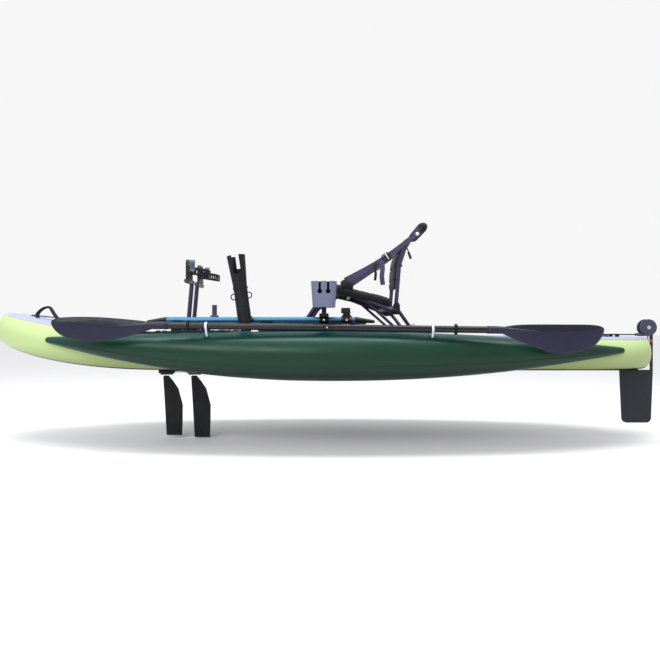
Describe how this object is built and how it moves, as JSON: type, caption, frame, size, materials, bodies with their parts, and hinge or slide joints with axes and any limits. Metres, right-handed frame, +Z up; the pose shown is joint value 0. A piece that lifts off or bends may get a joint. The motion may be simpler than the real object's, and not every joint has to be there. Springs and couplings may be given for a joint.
{
  "type": "inflatable pedal kayak",
  "caption": "Inflatable fishing kayak with side tubes, pedal-driven swinging fins, stern rudder, framed seat, accessory rails and a stowed paddle.",
  "frame": {"origin": "on the flat underside of the hull, on the centreline amidships", "axes": "+X towards the stern, -X to the bow, port is -Y, +Z up"},
  "size_m": [3.414, 0.9908, 1.097],
  "materials": {
    "board_skin": "coated PVC fabric, lime rails with a grey deck",
    "skid": "matt",
    "deck_foam": "grooved closed-cell foam",
    "tube_skin": "glossy coated PVC fabric",
    "black_plastic": "fine moulded grain",
    "webbing": "woven webbing",
    "bungee": "braided cord",
    "rail_blue": "blue anodised",
    "grey_plastic": "moulded",
    "anodised": "satin anodised tube",
    "steel": "satin",
    "fin_rubber": "flexible, smooth",
    "rudder_plastic": "moulded",
    "seat_fabric": "woven mesh",
    "paddle_shaft": "carbon-look tube",
    "paddle_blade": "glass-filled nylon",
    "ring_rubber": "matt"
  },
  "bodies": {
    "hull": {"accessory_post": "grey_plastic", "bow_bungee": "bungee", "bow_handle": "webbing", "bungee_anchors": "black_plastic", "cockpit_deck_pad": "deck_foam", "crank_shaft": "steel", "cup_holder_mount": "black_plastic", "drive_locks": "black_plastic", "drive_spine": "black_plastic", "drive_well": "black_plastic", "drop_stitch_board": "board_skin", "fin_shaft": "steel", "inflation_valves": "black_plastic", "port_rail": "rail_blue", "port_rail_brackets": "black_plastic", "port_side_tube": "tube_skin", "rail_end_caps": "black_plastic", "rod_holder_clamp": "black_plastic", "rudder_bracket": "black_plastic", "seat_cross_tubes": "anodised", "seat_feet": "black_plastic", "seat_hinges": "black_plastic", "seat_pad": "seat_fabric", "seat_rear_legs": "anodised", "seat_side_rails": "anodised", "skid_patch": "skid", "starboard_rail": "rail_blue", "starboard_rail_brackets": "black_plastic", "starboard_side_tube": "tube_skin", "steering_base": "black_plastic", "stern_bungee": "bungee", "stern_deck_pad": "deck_foam"},
    "rod_holder_tube": {"rod_holder": "black_plastic"},
    "cup_holder_cup": {"cup_holder": "grey_plastic"},
    "steering_lever": {"steering_handle": "black_plastic"},
    "port_crank_arm": {"port_crank": "anodised"},
    "starboard_crank_arm": {"starboard_crank": "anodised"},
    "port_pedal_unit": {"port_pedal": "black_plastic", "port_pedal_strap": "webbing"},
    "starboard_pedal_unit": {"starboard_pedal": "black_plastic", "starboard_pedal_strap": "webbing"},
    "front_fin_mount": {"front_fin_drum": "black_plastic"},
    "front_fin_unit": {"front_mast": "steel", "front_fin": "fin_rubber"},
    "rear_fin_mount": {"rear_fin_drum": "black_plastic"},
    "rear_fin_unit": {"rear_mast": "steel", "rear_fin": "fin_rubber"},
    "rudder_steering": {"rudder_pin": "steel", "rudder_head": "grey_plastic", "rudder_bolt": "steel"},
    "rudder_blade_arm": {"rudder_blade": "rudder_plastic"},
    "seat_back": {"seat_back_frame": "anodised", "seat_back_pad": "seat_fabric", "seat_top_roll": "seat_fabric", "seat_side_straps": "webbing"},
    "paddle": {"paddle_shaft": "paddle_shaft", "front_paddle_blade": "paddle_blade", "rear_paddle_blade": "paddle_blade", "drip_rings": "ring_rubber", "paddle_loops": "webbing"}
  },
  "joints": [
    {"name": "rod_holder_tilt", "type": "hinge", "parent": "hull", "child": "rod_holder_tube", "pos_m": [-0.379, -0.3285, 0.247], "axis": [0, 1, 0], "range_deg": [-30, 30]},
    {"name": "cup_holder_turn", "type": "hinge", "parent": "hull", "child": "cup_holder_cup", "pos_m": [-0.014, -0.342, 0.305], "axis": [0, 0, 1], "range_deg": [-90, 90]},
    {"name": "rudder_steer", "type": "hinge", "parent": "hull", "child": "rudder_steering", "pos_m": [1.6785, 0, 0.04836], "axis": [0, 0, 1], "range_deg": [-35, 35]},
    {"name": "steering_handle_turn", "type": "hinge", "parent": "hull", "child": "steering_lever", "pos_m": [0.092, -0.305, 0.271], "axis": [0, 0, 1], "range_deg": [-45, 45]},
    {"name": "rudder_kick_up", "type": "hinge", "parent": "rudder_steering", "child": "rudder_blade_arm", "pos_m": [1.672, 0, 0.213], "axis": [0, -1, 0], "range_deg": [0, 100]},
    {"name": "port_crank_swing", "type": "hinge", "parent": "hull", "child": "port_crank_arm", "pos_m": [-0.712, -0.06, 0.217], "axis": [0, 1, 0], "range_deg": [-28, 28]},
    {"name": "starboard_crank_swing", "type": "hinge", "parent": "hull", "child": "starboard_crank_arm", "pos_m": [-0.712, 0.06, 0.217], "axis": [0, 1, 0], "range_deg": [-28, 28]},
    {"name": "front_fin_sweep", "type": "hinge", "parent": "hull", "child": "front_fin_mount", "pos_m": [-0.847, 0, -0.017], "axis": [1, 0, 0], "range_deg": [-80, 80]},
    {"name": "rear_fin_sweep", "type": "hinge", "parent": "hull", "child": "rear_fin_mount", "pos_m": [-0.701, 0, -0.017], "axis": [1, 0, 0], "range_deg": [-80, 80]},
    {"name": "port_pedal_pivot", "type": "hinge", "parent": "port_crank_arm", "child": "port_pedal_unit", "pos_m": [-0.692, -0.125, 0.443], "axis": [0, 1, 0], "range_deg": [-45, 35]},
    {"name": "starboard_pedal_pivot", "type": "hinge", "parent": "starboard_crank_arm", "child": "starboard_pedal_unit", "pos_m": [-0.692, 0.125, 0.443], "axis": [0, 1, 0], "range_deg": [-45, 35]},
    {"name": "front_fin_kick_up", "type": "hinge", "parent": "front_fin_mount", "child": "front_fin_unit", "pos_m": [-0.847, 0, -0.03], "axis": [0, -1, 0], "range_deg": [0, 35]},
    {"name": "rear_fin_kick_up", "type": "hinge", "parent": "rear_fin_mount", "child": "rear_fin_unit", "pos_m": [-0.701, 0, -0.03], "axis": [0, -1, 0], "range_deg": [0, 35]},
    {"name": "seat_back_fold", "type": "hinge", "parent": "hull", "child": "seat_back", "pos_m": [0.345, 0, 0.323], "axis": [0, 1, 0], "range_deg": [-55, 12], "deforming": ["seat_side_straps"]},
    {"name": "paddle_lift", "type": "slide", "parent": "hull", "child": "paddle", "axis": [0, 0, 1], "range_m": [0, 0.25]}
  ],
  "couplings": [
    {"joint": "steering_handle_turn", "follows": "rudder_steer", "ratio": 1.25},
    {"joint": "starboard_crank_swing", "follows": "port_crank_swing", "ratio": -1},
    {"joint": "front_fin_sweep", "follows": "port_crank_swing", "ratio": 2.85},
    {"joint": "rear_fin_sweep", "follows": "port_crank_swing", "ratio": -2.85},
    {"joint": "rear_fin_kick_up", "follows": "front_fin_kick_up", "ratio": 1}
  ]
}
